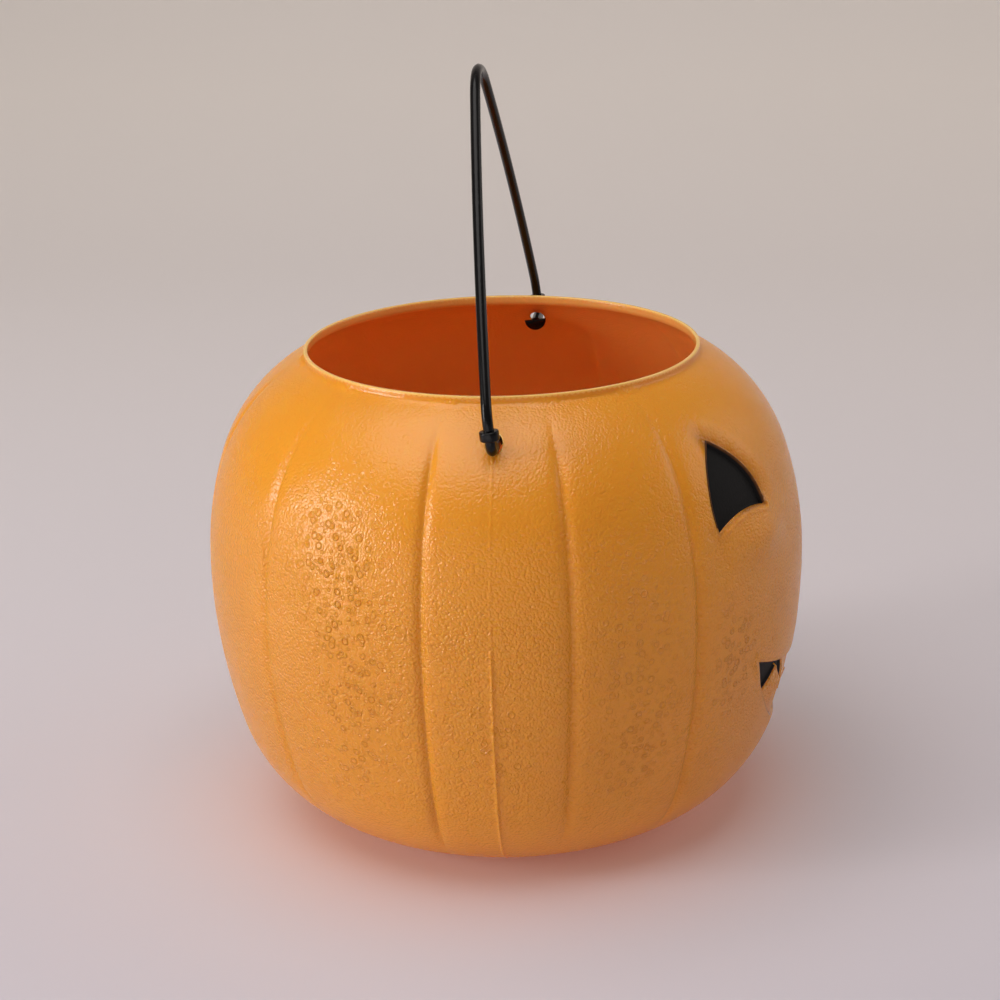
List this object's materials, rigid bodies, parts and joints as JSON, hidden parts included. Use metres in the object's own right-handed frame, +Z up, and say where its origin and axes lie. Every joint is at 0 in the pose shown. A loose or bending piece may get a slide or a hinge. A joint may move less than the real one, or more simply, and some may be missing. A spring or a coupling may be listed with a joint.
{
  "type": "candy pail",
  "caption": "Jack-o'-lantern candy pail: round lobed blow-moulded tub with an open rim, a sunk painted face and a rod bail that swings in the rim's side holes.",
  "frame": {"origin": "on the floor under the middle of the pail", "axes": "+Z up, face towards -Y, bail's swing axis along X"},
  "size_m": [0.228, 0.228, 0.2861],
  "materials": {
    "orange_polyethylene": "satin, fine moulded grain",
    "black_plastic": "satin",
    "black_paint": "matt"
  },
  "bodies": {
    "pail": {"pail_shell": "orange_polyethylene", "left_eye_paint": "black_paint", "right_eye_paint": "black_paint", "nose_paint": "black_paint", "mouth_paint": "black_paint"},
    "bail": {"bail_handle": "black_plastic"}
  },
  "joints": [
    {"name": "bail_swing", "type": "hinge", "parent": "pail", "child": "bail", "pos_m": [0, -0.006, 0.1694], "axis": [1, 0, 0], "range_deg": [-73, 91.5]}
  ]
}
